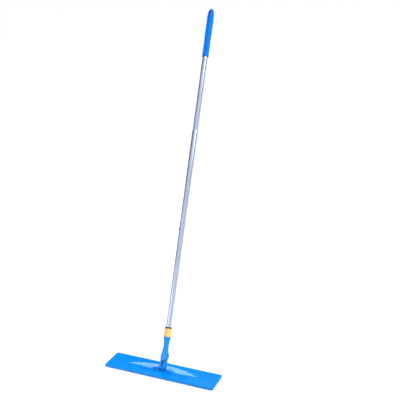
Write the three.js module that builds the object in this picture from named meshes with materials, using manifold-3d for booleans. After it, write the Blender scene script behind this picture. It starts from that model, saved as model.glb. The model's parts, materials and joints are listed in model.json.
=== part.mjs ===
// Flat mop: a thin rectangular head, a two-way swivel and a three-part aluminium pole.
// Millimetres, +Z up. The origin is the centre of the head's underside, +X runs along the head,
// +Y points to its rear edge, over which the pole leans.

import * as THREE from 'three';
import { mergeVertices } from 'three/addons/utils/BufferGeometryUtils.js';
import Module from 'manifold-3d';

const wasm = await Module();
wasm.setup();

// ---------------------------------------------------------------- driving dimensions

const GAP = 0.3; // kept between pieces that touch
const ROUND = 32; // sides of the pole and its fittings
const ROUND_HIDDEN = 24; // sides of what is inside the pole
const ROUND_SMALL = 20; // sides of pins, screws and buttons
const OVERSHOOT = 5; // how far a cutting tool runs past what it cuts

const LEAN = THREE.MathUtils.degToRad(28); // pole leans back over the head's rear edge
const SWING = THREE.MathUtils.degToRad(-3.2); // and a little to the left

const HEAD = { length: 400, width: 92, corner: 7, bottom: 1.2, top: 7.4, round: 1.2 };
const DISH = { halfLength: 128, halfWidth: 29, depth: 4, crease: 0.12, tip: 0.05, above: 0.25 };
const DISH_STATIONS = 24;
const SEAT = { length: 84, width: 21, bottom: 2.4, top: 5.4 };
const STRIP = { length: 380, width: 20, thickness: 1.6, spacing: 33.5, corner: 2 };
const STRIP_SEAT_TOP = STRIP.thickness + GAP;
const POCKET = { count: 12, pitch: 32, rib: 2.4, width: 10, offset: 17, top: 3.4, corner: 1.5 };

const BRACKET = { length: 74, width: 15, bottom: SEAT.top + GAP, thickness: 2.5, round: 0.6 };
const BRACKET_TOP = BRACKET.bottom + BRACKET.thickness;
const LUG = { width: 8, radius: 6, footWidth: 13 };
const SCREW = { x: 29, shank: 1.5, point: 0.6, head: 3, crown: 2.25, headHeight: 1.8, rim: 0.9, tip: 2.4 };
const SCREW_SLOT = { width: 0.8, depth: 1, length: 3.6 };

const TILT_HEIGHT = 15; // the tilt pin's height over the floor
const TILT_PIN = { radius: 2.2, halfLength: 12.2 };

const YOKE = { swingHeight: 36.6, halfWidth: 12.2, thickness: 8, round: 0.5, slotTop: 21.3 };
const KNUCKLE = { radius: 6, outer: 12.8, inner: LUG.width / 2 + GAP };
const YOKE_RIB = { width: 3.8, reach: 8, foot: 5.6, footHeight: 3, low: 11, high: 21.8 };
const YOKE_RIB_EDGE = { corner: 2, round: 0.6 };
const YOKE_WEB = { thickness: 2.6, low: 9 }; // closes the slot above the bracket's lug

const FORK = { radius: 13.7, halfDepth: 8.9, slotRadius: 13.3, openTo: 11 };
const FORK_BOSS = { radius: 10.5, height: 1 };
const SWING_PIN = { radius: 3, front: -6.6, head: 4.8, crown: 3.4, headHeight: 1.4, rim: 0.5 };

// Heights along the pole, from the swing pin.
const NECK_TOP = 67;
const NECK_WIDTHS = [
  [0, FORK.radius], [8, 12.4], [16, 10.4], [28, 9.4], [40, 9.15], [54, 10.8], [NECK_TOP, 13.4],
];
const NECK = { tip: 2, boxy: 5, round: 2, roundFrom: 6, roundTo: 32, deepFrom: 14, deepTo: 36, sides: 28 };
const SPIGOT = { radius: 9.6, bore: 7.6, root: 64, top: 108, boreBottom: 75 };
const COLLAR_TOP = 95;
const RING_TOP = 100.3;
const LOWER_SEAM = 459.9;
const BUTTON_HEIGHT = 442;
const RIVET_HEIGHT = 465.5;
const UPPER_SEAM = 803;
const GRIP_BOTTOM = 1085;
const GRIP_TOP = 1222;
const GRIP_RADII = [
  [GRIP_BOTTOM, 12.2], [GRIP_BOTTOM + 3, 12.6], [GRIP_BOTTOM + 9, 12.05], [GRIP_BOTTOM + 28, 11.6],
  [GRIP_BOTTOM + 60, 11.8], [GRIP_BOTTOM + 95, 12.4], [GRIP_TOP - 12, 12.6], [GRIP_TOP, 12.5],
];
const POLE_TOP = 1276;

const WIDE_TUBE = 10.75; // outer radius of the lower and the middle tube
const LOWER_BORE = 10;
const MIDDLE_BORE = 10.15;
const UPPER_TUBE = { radius: 9.9, bore: 9.2, bottom: 773, top: 1219 };

const SLEEVE = { inner: 11.02, outer: 11.55, slit: 2 };
const COLLAR = { inner: 11.85, outer: 13.1, chamfer: 0.7, lip: 1.6 };
const SEAL = { inner: 11.05, outer: 12.4, rim: 0.3, topRim: 0.9 };

const INSERT = { lower: 9.7, upper: 9.85, bore: 7, bottom: 412, webBottom: 450, webTop: 468, top: 492 };
const BUTTON = { shaft: 3.2, flange: 4.75, foot: 3.7, flangeTop: 4.9, top: 12.5, dome: 1.4, angle: -123.6 };
const SPRING = { width: 5, thickness: 0.5, bend: 3.3, bendHeight: 424, top: 447, centre: 0.1 };
const RIVET = { shank: 1.2, head: 1.9, foot: 8.4, headBottom: 11.05, top: 11.8, angle: -49.6 };

const TWIST = { flange: 9.2, journal: 6.2, bottom: 744, ringBottom: 752, ringTop: 768, chamfer: 0.4 };
const TWIST_PLUG = { radius: 8.9, wall: 2.4, length: 25, floor: 3 };
const LOCK_RING = { outer: 9.85, inner: 6.6, slit: 2 };

const GRIP_BORE = 10.2;
const CAP_PLUG = { radius: 8.9, bottom: 1196, chamfer: 0.8, chamferHeight: 2 };
const CAP_DOME = { radius: 12.5, roundness: 4.2, steps: 12 };
const HANG_SLOT = { width: 9, length: 28, centre: 1251 };

// ---------------------------------------------------------------- materials

function finish(color, roughness, metalness) {
  return new THREE.MeshStandardMaterial({ color, roughness, metalness });
}

const BLUE = finish(0x0a90f2, 0.32, 0);
const NECK_BLUE = finish(0x0a84e4, 0.35, 0);
const GRIP_BLUE = finish(0x0678e6, 0.45, 0);
const YELLOW = finish(0xfadb86, 0.4, 0);
const BLACK = finish(0x22211e, 0.7, 0);
const ALUMINIUM = finish(0xc4c7d4, 0.3, 1);
const STEEL = finish(0xb4b4b6, 0.3, 1);
const HOOK_TAPE = finish(0x2a2c30, 0.9, 0);
const NYLON = finish(0xe4e4de, 0.5, 0);

// ---------------------------------------------------------------- solids: joining and cutting

// A closed geometry with its shared vertices merged and its faces pointing out.
function closed(geometry) {
  geometry.deleteAttribute('normal');
  geometry.deleteAttribute('uv');
  const merged = mergeVertices(geometry, 1e-4);
  const position = merged.attributes.position;
  const index = merged.index.array;
  const corner = [new THREE.Vector3(), new THREE.Vector3(), new THREE.Vector3()];
  let volume = 0;
  for (let i = 0; i < index.length; i += 3) {
    corner.forEach((point, k) => point.fromBufferAttribute(position, index[i + k]));
    volume += corner[0].dot(corner[1].cross(corner[2]));
  }
  if (volume < 0) {
    for (let i = 0; i < index.length; i += 3) {
      [index[i], index[i + 1]] = [index[i + 1], index[i]];
    }
  }
  return merged;
}

function toManifold(geometry) {
  const merged = closed(geometry);
  return new wasm.Manifold(new wasm.Mesh({
    numProp: 3,
    vertProperties: new Float32Array(merged.attributes.position.array),
    triVerts: new Uint32Array(merged.index.array),
  }));
}

function toGeometry(solid) {
  const mesh = solid.getMesh();
  const geometry = new THREE.BufferGeometry();
  geometry.setAttribute('position', new THREE.BufferAttribute(new Float32Array(mesh.vertProperties), 3));
  geometry.setIndex(new THREE.BufferAttribute(new Uint32Array(mesh.triVerts), 1));
  return geometry;
}

function join(...geometries) {
  return toGeometry(geometries.map(toManifold).reduce((whole, piece) => whole.add(piece)));
}

function cut(geometry, ...tools) {
  const whole = toManifold(geometry);
  return toGeometry(tools.map(toManifold).reduce((rest, tool) => rest.subtract(tool), whole));
}

// ---------------------------------------------------------------- basic forms

// Turns what was pushed along +Z so that it runs along +X, with its outline in Y and Z.
const AXIS_X = new THREE.Matrix4().makeBasis(
  new THREE.Vector3(0, 1, 0), new THREE.Vector3(0, 0, 1), new THREE.Vector3(1, 0, 0));
// The same along -Y, with its outline in X and Z.
const AXIS_Y = new THREE.Matrix4().makeBasis(
  new THREE.Vector3(1, 0, 0), new THREE.Vector3(0, 0, 1), new THREE.Vector3(0, -1, 0));

// A profile of [radius, height] pairs turned about +Z.
function turned(profile, sides = ROUND) {
  const points = profile.map(([radius, height]) => new THREE.Vector2(radius, height));
  return new THREE.LatheGeometry(points, sides).rotateX(Math.PI / 2);
}

// A tube about +Z between two heights, closed on itself.
function ring(inner, outer, bottom, top, sides = ROUND) {
  return turned([[inner, bottom], [outer, bottom], [outer, top], [inner, top], [inner, bottom]], sides);
}

// A solid rod about +Z between two heights.
function rod(radius, bottom, top, sides = ROUND_SMALL) {
  return turned([[0, bottom], [radius, bottom], [radius, top], [0, top]], sides);
}

// A shape pushed along +Z from bottom to top, its edges rounded by the bevel.
function pushed(shape, bottom, top, bevel = 0, curveSegments = 6) {
  const geometry = new THREE.ExtrudeGeometry(shape, {
    depth: top - bottom - 2 * bevel,
    bevelEnabled: bevel > 0,
    bevelThickness: bevel,
    bevelSize: bevel,
    bevelOffset: -bevel,
    bevelSegments: 2,
    curveSegments,
  });
  return geometry.translate(0, 0, bottom + bevel);
}

function roundedRectangle(length, width, corner) {
  const x = length / 2 - corner;
  const y = width / 2 - corner;
  const shape = new THREE.Shape();
  shape.absarc(x, y, corner, 0, Math.PI / 2);
  shape.absarc(-x, y, corner, Math.PI / 2, Math.PI);
  shape.absarc(-x, -y, corner, Math.PI, 1.5 * Math.PI);
  shape.absarc(x, -y, corner, 1.5 * Math.PI, 2 * Math.PI);
  return shape;
}

// Its ends are round but for a short flat.
const stadium = (length, width) => roundedRectangle(length, width, 0.48 * width);

function box(lengthX, lengthY, bottom, top) {
  return new THREE.BoxGeometry(lengthX, lengthY, top - bottom).translate(0, 0, (top + bottom) / 2);
}

// A closed skin over a stack of rings with equal point counts, its ends closed flat.
function lofted(rings) {
  const count = rings[0].length;
  const points = rings.flat();
  const faces = [];
  for (let level = 0; level + 1 < rings.length; level += 1) {
    for (let i = 0; i < count; i += 1) {
      const a = level * count + i;
      const b = level * count + (i + 1) % count;
      faces.push(a, b, b + count, a, b + count, a + count);
    }
  }
  for (const level of [0, rings.length - 1]) {
    const centre = points.length;
    points.push(rings[level].reduce((sum, p) => sum.add(p), new THREE.Vector3()).divideScalar(count));
    for (let i = 0; i < count; i += 1) {
      const a = level * count + i;
      const b = level * count + (i + 1) % count;
      faces.push(...(level === 0 ? [centre, b, a] : [centre, a, b]));
    }
  }
  const geometry = new THREE.BufferGeometry().setFromPoints(points);
  geometry.setIndex(faces);
  return geometry;
}

// A smooth run of [height, radius] stations as a function of height.
function throughStations(stations) {
  const curve = new THREE.CatmullRomCurve3(
    stations.map(([height, radius]) => new THREE.Vector3(height, radius, 0)), false, 'centripetal');
  const samples = curve.getPoints(stations.length * 12);
  return (height) => {
    const next = samples.findIndex((p) => p.x >= height);
    if (next <= 0) {
      return next === 0 ? samples[0].y : samples.at(-1).y;
    }
    const before = samples[next - 1];
    const t = (height - before.x) / (samples[next].x - before.x);
    return THREE.MathUtils.lerp(before.y, samples[next].y, t);
  };
}

// ---------------------------------------------------------------- head

// The dish narrows to a point at both ends along two arcs, and is a shallow V with a blunt crease across.
function dishTool() {
  const { halfLength, halfWidth, depth, crease, tip, above } = DISH;
  const arcRadius = (halfLength ** 2 + halfWidth ** 2) / (2 * halfWidth);
  const slope = depth / halfWidth;
  const rings = [];
  for (let i = 0; i <= DISH_STATIONS; i += 1) {
    const x = -halfLength * Math.cos((Math.PI * i) / DISH_STATIONS);
    const edge = Math.max(Math.sqrt(arcRadius ** 2 - x ** 2) - arcRadius + halfWidth, tip);
    const blunt = crease * edge;
    const point = (y, fall) => new THREE.Vector3(x, y, HEAD.top - fall * slope);
    rings.push([
      point((1 + above) * edge, -above * edge),
      point(blunt, edge - blunt),
      point(0, edge - blunt / 2),
      point(-blunt, edge - blunt),
      point(-(1 + above) * edge, -above * edge),
    ]);
  }
  return lofted(rings);
}

function headPlate() {
  const outline = roundedRectangle(HEAD.length, HEAD.width, HEAD.corner);
  const slab = pushed(outline, HEAD.bottom, HEAD.top, HEAD.round, 5);
  const seat = pushed(stadium(SEAT.length, SEAT.width), SEAT.bottom, SEAT.top, 0, 8);
  const tools = [];
  for (const row of [-1, 0, 1]) {
    const seatShape = roundedRectangle(STRIP.length + 2, STRIP.width + 2 * GAP, STRIP.corner);
    tools.push(pushed(seatShape, -OVERSHOOT, STRIP_SEAT_TOP, 0, 2).translate(0, row * STRIP.spacing, 0));
  }
  const pocket = roundedRectangle(POCKET.pitch - POCKET.rib, POCKET.width, POCKET.corner);
  for (const side of [-1, 1]) {
    for (let i = 0; i < POCKET.count; i += 1) {
      const x = (i - (POCKET.count - 1) / 2) * POCKET.pitch;
      tools.push(pushed(pocket, -OVERSHOOT, POCKET.top, 0, 1).translate(x, side * POCKET.offset, 0));
    }
  }
  for (const x of [-SCREW.x, SCREW.x]) {
    tools.push(rod(SCREW.shank + GAP, 0, HEAD.top + OVERSHOOT).translate(x, 0, 0));
  }
  return cut(join(cut(slab, dishTool()), seat), ...tools);
}

function hookStrip() {
  const outline = roundedRectangle(STRIP.length, STRIP.width, STRIP.corner);
  return pushed(outline, 0, STRIP.thickness, 0, 2);
}

function swivelBracket() {
  const foot = pushed(stadium(BRACKET.length, BRACKET.width), BRACKET.bottom, BRACKET_TOP, BRACKET.round, 8);
  const side = new THREE.Shape();
  side.moveTo(-LUG.footWidth / 2, BRACKET.bottom + BRACKET.round);
  side.lineTo(-LUG.radius, TILT_HEIGHT);
  side.absarc(0, TILT_HEIGHT, LUG.radius, Math.PI, 0, true);
  side.lineTo(LUG.footWidth / 2, BRACKET.bottom + BRACKET.round);
  const lug = pushed(side, -LUG.width / 2, LUG.width / 2, 0, 10).applyMatrix4(AXIS_X);
  const pinHole = rod(TILT_PIN.radius + GAP, -LUG.width, LUG.width).rotateY(Math.PI / 2);
  const tools = [pinHole.translate(0, 0, TILT_HEIGHT)];
  for (const x of [-SCREW.x, SCREW.x]) {
    tools.push(rod(SCREW.shank + GAP, 0, BRACKET_TOP + OVERSHOOT).translate(x, 0, 0));
  }
  return cut(join(foot, lug), ...tools);
}

function bracketScrew() {
  const headBottom = BRACKET_TOP + GAP;
  const headTop = headBottom + SCREW.headHeight;
  const body = turned([
    [0, SCREW.tip], [SCREW.point, SCREW.tip], [SCREW.shank, SCREW.tip + SCREW.rim],
    [SCREW.shank, headBottom], [SCREW.head, headBottom],
    [SCREW.head, headTop - SCREW.rim], [SCREW.crown, headTop - SCREW.rim / 4],
    [0, headTop],
  ], ROUND_SMALL);
  const slot = box(SCREW_SLOT.length, SCREW_SLOT.width, headTop - SCREW_SLOT.depth, headTop + OVERSHOOT);
  const crossSlot = slot.clone().rotateZ(Math.PI / 2);
  return cut(body, slot, crossSlot);
}

function tiltPin() {
  const pin = rod(TILT_PIN.radius, -TILT_PIN.halfLength, TILT_PIN.halfLength);
  return pin.rotateY(Math.PI / 2).translate(0, 0, TILT_HEIGHT);
}

// ---------------------------------------------------------------- swivel

// Local frame: origin on the tilt pin, +Z along the pole.
function yoke() {
  const front = new THREE.Shape();
  front.moveTo(-YOKE.halfWidth, 0);
  front.lineTo(-YOKE.halfWidth, YOKE.swingHeight);
  front.absarc(0, YOKE.swingHeight, YOKE.halfWidth, Math.PI, 0, true);
  front.lineTo(YOKE.halfWidth, 0);
  const half = YOKE.thickness / 2;
  const pieces = [pushed(front, -half, half, YOKE.round, 12).applyMatrix4(AXIS_Y)];

  const { width, reach, foot, footHeight, low, high } = YOKE_RIB;
  const { corner, round } = YOKE_RIB_EDGE;
  const ribSide = new THREE.Shape([
    [-foot, footHeight], [-reach, low], [-reach, high - corner], [-reach + corner, high],
    [reach - corner, high], [reach, high - corner], [reach, low], [foot, footHeight],
  ].map(([y, z]) => new THREE.Vector2(y, z)));
  for (const side of [-1, 1]) {
    const inner = side * KNUCKLE.inner;
    const outer = side * KNUCKLE.outer;
    const knuckle = rod(KNUCKLE.radius, Math.min(inner, outer), Math.max(inner, outer), ROUND_HIDDEN);
    pieces.push(knuckle.rotateY(Math.PI / 2));
    const ribOuter = inner + side * width;
    const rib = pushed(ribSide, Math.min(inner, ribOuter), Math.max(inner, ribOuter), round, 1);
    pieces.push(rib.applyMatrix4(AXIS_X));
  }

  const slot = new THREE.Shape();
  slot.moveTo(-KNUCKLE.inner, -KNUCKLE.radius - OVERSHOOT);
  slot.lineTo(-KNUCKLE.inner, YOKE.slotTop - KNUCKLE.inner);
  slot.absarc(0, YOKE.slotTop - KNUCKLE.inner, KNUCKLE.inner, Math.PI, 0, true);
  slot.lineTo(KNUCKLE.inner, -KNUCKLE.radius - OVERSHOOT);
  const depth = YOKE_RIB.reach + OVERSHOOT;
  const tiltHole = rod(TILT_PIN.radius + GAP, -2 * KNUCKLE.outer, 2 * KNUCKLE.outer).rotateY(Math.PI / 2);
  const swingHole = rod(SWING_PIN.radius + GAP, -depth, depth).rotateX(Math.PI / 2);
  const forked = cut(
    join(...pieces),
    pushed(slot, -depth, depth, 0, 8).applyMatrix4(AXIS_Y),
    tiltHole,
    swingHole.translate(0, 0, YOKE.swingHeight),
  );
  const webWidth = 2 * (KNUCKLE.inner + OVERSHOOT);
  return join(forked, box(webWidth, YOKE_WEB.thickness, YOKE_WEB.low, YOKE.slotTop + OVERSHOOT));
}

// Half width across the neck: wide at the fork, narrow at the waist, wide again under the collar.
const neckHalfWidth = throughStations(NECK_WIDTHS);

// A boxy oval at the fork that turns into a circle at the waist.
function neckRing(height) {
  const { lerp, smoothstep } = THREE.MathUtils;
  const below = Math.max(Math.sqrt(Math.max(FORK.radius ** 2 - height ** 2, 0)), NECK.tip);
  const across = height < 0 ? below : neckHalfWidth(height);
  const deep = lerp(FORK.halfDepth, across, smoothstep(height, NECK.deepFrom, NECK.deepTo));
  const power = 2 / lerp(NECK.boxy, NECK.round, smoothstep(height, NECK.roundFrom, NECK.roundTo));
  const swollen = (value) => Math.sign(value) * Math.abs(value) ** power;
  return Array.from({ length: NECK.sides }, (_, i) => {
    const angle = (2 * Math.PI * i) / NECK.sides;
    return new THREE.Vector3(across * swollen(Math.cos(angle)), deep * swollen(Math.sin(angle)), height);
  });
}

// Local frame of the neck and the whole pole: origin on the swing pin, +Z along the pole.
function neck() {
  const heights = [];
  const belowSteps = 6;
  for (let i = 0; i < belowSteps; i += 1) {
    heights.push(-FORK.radius * Math.cos((Math.PI * i) / (2 * belowSteps)));
  }
  const aboveSteps = 13;
  for (let i = 0; i <= aboveSteps; i += 1) {
    heights.push((NECK_TOP * i) / aboveSteps);
  }
  const body = lofted(heights.map(neckRing));
  const spigot = rod(SPIGOT.radius, SPIGOT.root, SPIGOT.top, ROUND);
  const deep = FORK.halfDepth + FORK_BOSS.height;
  const bosses = rod(FORK_BOSS.radius, -deep, deep, ROUND).rotateX(Math.PI / 2);

  const slotHalf = YOKE.thickness / 2 + GAP;
  const slot = join(
    rod(FORK.slotRadius, -slotHalf, slotHalf, ROUND).rotateX(Math.PI / 2),
    box(2 * FORK.radius + OVERSHOOT, 2 * slotHalf, -FORK.radius - OVERSHOOT, FORK.openTo),
  );
  const blindEnd = GAP - SWING_PIN.front;
  const pinHole = rod(SWING_PIN.radius + GAP, -deep - OVERSHOOT, blindEnd).rotateX(Math.PI / 2);
  const pinSink = deep - SWING_PIN.headHeight - 2 * GAP;
  const headHole = rod(SWING_PIN.head + GAP, -deep - OVERSHOOT, -pinSink).rotateX(Math.PI / 2);
  const bore = rod(SPIGOT.bore, SPIGOT.boreBottom, SPIGOT.top + OVERSHOOT, ROUND);
  return cut(join(body, spigot, bosses), slot, pinHole, headHole, bore);
}

// The pin goes in from the back and ends inside the front cheek.
function swingPin() {
  const back = FORK.halfDepth + FORK_BOSS.height - GAP;
  const underHead = back - SWING_PIN.headHeight;
  const pin = turned([
    [0, SWING_PIN.front], [SWING_PIN.radius, SWING_PIN.front], [SWING_PIN.radius, underHead],
    [SWING_PIN.head, underHead], [SWING_PIN.head, back - SWING_PIN.rim], [SWING_PIN.crown, back], [0, back],
  ], ROUND_HIDDEN);
  return pin.rotateX(-Math.PI / 2);
}

// ---------------------------------------------------------------- collar and lower pole

function splitSleeve() {
  const bottom = NECK_TOP + GAP;
  const top = COLLAR_TOP - COLLAR.lip - GAP;
  const body = ring(SLEEVE.inner, SLEEVE.outer, bottom, top);
  const slit = box(SLEEVE.slit, SLEEVE.outer, bottom - 1, top + 1).translate(0, SLEEVE.outer, 0);
  return cut(body, slit);
}

function lockingCollar() {
  const bottom = NECK_TOP + GAP;
  const { inner, outer, chamfer, lip } = COLLAR;
  return turned([
    [inner, bottom], [outer - chamfer, bottom], [outer, bottom + chamfer], [outer, COLLAR_TOP - chamfer],
    [outer - chamfer, COLLAR_TOP], [SEAL.inner, COLLAR_TOP], [SEAL.inner, COLLAR_TOP - lip],
    [inner, COLLAR_TOP - lip], [inner, bottom],
  ]);
}

function sealRing() {
  const bottom = COLLAR_TOP + GAP;
  const { inner, outer, rim, topRim } = SEAL;
  return turned([
    [inner, bottom], [outer - rim, bottom], [outer, bottom + 2 * rim], [outer - rim, RING_TOP - topRim],
    [outer - topRim, RING_TOP], [inner, RING_TOP], [inner, bottom],
  ]);
}

// Turns a piece built along +X to its angle round the pole and lifts it to its height.
function aroundPole(geometry, angle, height) {
  return geometry.rotateZ(THREE.MathUtils.degToRad(angle)).translate(0, 0, height);
}

// A straight hole out through the pole's wall, from a radius outwards.
function radialHole(radius, from, angle, height) {
  const hole = rod(radius, from, WIDE_TUBE + OVERSHOOT).rotateY(Math.PI / 2);
  return aroundPole(hole, angle, height);
}

function lowerTube() {
  const wall = ring(LOWER_BORE, WIDE_TUBE, NECK_TOP + GAP, LOWER_SEAM - GAP);
  return cut(wall, radialHole(BUTTON.shaft + 0.4, LOWER_BORE / 2, BUTTON.angle, BUTTON_HEIGHT));
}

function jointInsert() {
  const { lower, upper, bore, bottom, webBottom, webTop, top } = INSERT;
  const body = turned([
    [0, webBottom], [bore, webBottom], [bore, bottom], [lower - 0.5, bottom], [lower, bottom + 1],
    [lower, LOWER_SEAM - GAP], [upper, LOWER_SEAM + GAP], [upper, top - 1], [upper - 0.5, top],
    [bore, top], [bore, webTop], [0, webTop],
  ], ROUND_HIDDEN);
  return cut(
    body,
    radialHole(BUTTON.shaft + GAP, bore / 2, BUTTON.angle, BUTTON_HEIGHT),
    radialHole(RIVET.shank + GAP, RIVET.foot - GAP, RIVET.angle, RIVET_HEIGHT),
  );
}

function jointButton() {
  const { shaft, flange, foot, flangeTop, top, dome, angle } = BUTTON;
  const profile = [[0, foot], [flange, foot], [flange, flangeTop], [shaft, flangeTop]];
  const steps = 4;
  for (let i = 0; i <= steps; i += 1) {
    const turn = (Math.PI * i) / (2 * steps);
    profile.push([i < steps ? shaft * Math.cos(turn) : 0, top - dome + dome * Math.sin(turn)]);
  }
  const body = turned(profile, ROUND_HIDDEN);
  return aroundPole(body.rotateY(Math.PI / 2), angle, BUTTON_HEIGHT);
}

// A bent steel strip: one leg behind the button, the other against the far wall.
function buttonSpring() {
  const { width, thickness, bend, bendHeight, top, centre } = SPRING;
  const inside = bend - thickness;
  const side = new THREE.Shape();
  side.moveTo(centre + bend, top);
  side.lineTo(centre + bend, bendHeight);
  side.absarc(centre, bendHeight, bend, 0, -Math.PI, true);
  side.lineTo(centre - bend, top);
  side.lineTo(centre - inside, top);
  side.absarc(centre, bendHeight, inside, -Math.PI, 0, false);
  side.lineTo(centre + inside, top);
  const strip = pushed(side, -width / 2, width / 2, 0, 8).applyMatrix4(AXIS_Y);
  return aroundPole(strip, BUTTON.angle, 0);
}

function insertRivet() {
  const { shank, head, foot, headBottom, top, angle } = RIVET;
  const body = turned([
    [0, foot], [shank, foot], [shank, headBottom], [head, headBottom], [head, headBottom + 0.2],
    [head * 0.7, top - 0.15], [0, top],
  ], ROUND_SMALL);
  return aroundPole(body.rotateY(Math.PI / 2), angle, RIVET_HEIGHT);
}

function middleTube() {
  const wall = ring(MIDDLE_BORE, WIDE_TUBE, LOWER_SEAM, UPPER_SEAM);
  return cut(wall, radialHole(RIVET.shank + GAP, LOWER_BORE / 2, RIVET.angle, RIVET_HEIGHT));
}

// ---------------------------------------------------------------- upper pole

function lockRing() {
  const body = ring(LOCK_RING.inner, LOCK_RING.outer, TWIST.ringBottom, TWIST.ringTop);
  const slit = box(LOCK_RING.outer, LOCK_RING.slit, TWIST.ringBottom - 1, TWIST.ringTop + 1);
  return cut(body, slit.translate(LOCK_RING.outer, 0, 0));
}

function expanderPlug() {
  const { flange, journal, bottom, ringBottom, ringTop, chamfer } = TWIST;
  const { radius: plug, wall, length, floor } = TWIST_PLUG;
  const shoulder = UPPER_TUBE.radius - GAP;
  const shoulderTop = UPPER_TUBE.bottom - GAP;
  const plugTop = UPPER_TUBE.bottom + length;
  return turned([
    [0, bottom], [flange - chamfer, bottom], [flange, bottom + chamfer], [flange, ringBottom - GAP],
    [journal, ringBottom - GAP], [journal, ringTop + GAP], [shoulder, ringTop + GAP],
    [shoulder, shoulderTop], [plug, shoulderTop], [plug, plugTop], [plug - wall, plugTop],
    [plug - wall, shoulderTop + floor], [0, shoulderTop + floor],
  ], ROUND_HIDDEN);
}

function upperTube() {
  return ring(UPPER_TUBE.bore, UPPER_TUBE.radius, UPPER_TUBE.bottom, UPPER_TUBE.top);
}

const gripRadius = throughStations(GRIP_RADII);

// Its rings lie closer together towards the lip at the lower end.
function gripSleeve() {
  const steps = 11;
  const crowding = 1.4;
  const profile = [[GRIP_BORE, GRIP_BOTTOM]];
  for (let i = 0; i <= steps; i += 1) {
    const height = GRIP_BOTTOM + (GRIP_TOP - GRIP_BOTTOM) * (i / steps) ** crowding;
    profile.push([gripRadius(height), height]);
  }
  profile.push([GRIP_BORE, GRIP_TOP], [GRIP_BORE, GRIP_BOTTOM]);
  return turned(profile);
}

function hangingEndCap() {
  const bottom = GRIP_TOP + GAP;
  const { radius, roundness, steps } = CAP_DOME;
  const plug = CAP_PLUG.radius;
  const profile = [
    [0, CAP_PLUG.bottom], [plug - CAP_PLUG.chamfer, CAP_PLUG.bottom],
    [plug, CAP_PLUG.bottom + CAP_PLUG.chamferHeight], [plug, bottom],
  ];
  for (let i = 0; i <= steps; i += 1) {
    const share = Math.sin((Math.PI * i) / (2 * steps));
    const across = i < steps ? radius * Math.sqrt(1 - share ** roundness) : 0;
    profile.push([across, bottom + share * (POLE_TOP - bottom)]);
  }
  const body = turned(profile);
  const slotShape = stadium(HANG_SLOT.length, HANG_SLOT.width);
  const reach = WIDE_TUBE + OVERSHOOT;
  const slot = pushed(slotShape, -reach, reach, 0, 10).rotateZ(Math.PI / 2).applyMatrix4(AXIS_Y);
  return cut(body, slot.translate(0, 0, HANG_SLOT.centre));
}

// ---------------------------------------------------------------- assembly

function piece(parent, name, geometry, material) {
  const mesh = new THREE.Mesh(closed(geometry), material);
  mesh.name = name;
  parent.add(mesh);
  return mesh;
}

const mop = new THREE.Group();

piece(mop, 'head_plate', headPlate(), BLUE);
for (const [name, row] of [['front', -1], ['middle', 0], ['rear', 1]]) {
  piece(mop, `hook_strip_${name}`, hookStrip(), HOOK_TAPE).position.y = row * STRIP.spacing;
}
piece(mop, 'swivel_bracket', swivelBracket(), BLUE);
for (const [name, x] of [['left', -SCREW.x], ['right', SCREW.x]]) {
  piece(mop, `bracket_screw_${name}`, bracketScrew(), STEEL).position.x = x;
}
piece(mop, 'tilt_pin', tiltPin(), STEEL);

const swivel = new THREE.Group();
swivel.position.z = TILT_HEIGHT;
swivel.rotation.x = -LEAN;
mop.add(swivel);
piece(swivel, 'yoke', yoke(), NECK_BLUE);

const pole = new THREE.Group();
pole.position.z = YOKE.swingHeight;
pole.rotation.y = SWING;
swivel.add(pole);
piece(pole, 'neck', neck(), NECK_BLUE);
piece(pole, 'swing_pin', swingPin(), STEEL);
piece(pole, 'split_sleeve', splitSleeve(), NYLON);
piece(pole, 'locking_collar', lockingCollar(), YELLOW);
piece(pole, 'seal_ring', sealRing(), BLACK);
piece(pole, 'lower_tube', lowerTube(), ALUMINIUM);
piece(pole, 'joint_insert', jointInsert(), GRIP_BLUE);
piece(pole, 'joint_button', jointButton(), GRIP_BLUE);
piece(pole, 'button_spring', buttonSpring(), STEEL);
piece(pole, 'insert_rivet', insertRivet(), STEEL);
piece(pole, 'middle_tube', middleTube(), ALUMINIUM);
piece(pole, 'lock_ring', lockRing(), NYLON);
piece(pole, 'expander_plug', expanderPlug(), NYLON);
piece(pole, 'upper_tube', upperTube(), ALUMINIUM);
piece(pole, 'grip_sleeve', gripSleeve(), GRIP_BLUE);
piece(pole, 'hanging_end_cap', hangingEndCap(), GRIP_BLUE);

export default mop;
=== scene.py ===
"""The looks of a flat mop: finely modelled pieces that ride on the frame's bodies, and a plain studio."""

import json
import math
import random

import bmesh
import bpy
from mathutils import Matrix, Vector


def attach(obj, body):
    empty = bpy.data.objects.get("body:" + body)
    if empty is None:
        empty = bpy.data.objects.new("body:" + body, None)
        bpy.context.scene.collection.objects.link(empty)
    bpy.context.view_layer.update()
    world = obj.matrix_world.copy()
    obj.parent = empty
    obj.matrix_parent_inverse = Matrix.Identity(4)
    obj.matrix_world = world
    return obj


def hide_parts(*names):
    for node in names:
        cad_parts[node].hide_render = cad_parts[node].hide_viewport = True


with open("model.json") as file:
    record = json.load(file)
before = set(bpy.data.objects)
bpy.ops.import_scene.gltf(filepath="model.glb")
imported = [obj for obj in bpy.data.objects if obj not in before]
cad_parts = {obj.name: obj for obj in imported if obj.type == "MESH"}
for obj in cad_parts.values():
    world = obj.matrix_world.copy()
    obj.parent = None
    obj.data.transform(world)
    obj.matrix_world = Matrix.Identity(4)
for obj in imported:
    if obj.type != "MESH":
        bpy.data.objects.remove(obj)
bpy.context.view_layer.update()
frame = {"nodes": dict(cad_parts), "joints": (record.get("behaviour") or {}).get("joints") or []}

MM = 0.001
GAP = 0.3 * MM  # between neighbouring pieces
ROUND_END = 0.48  # corner radius over width, for ends that are almost half-round

# ------------------------------------------------------------------ the frame's own sizes

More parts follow.
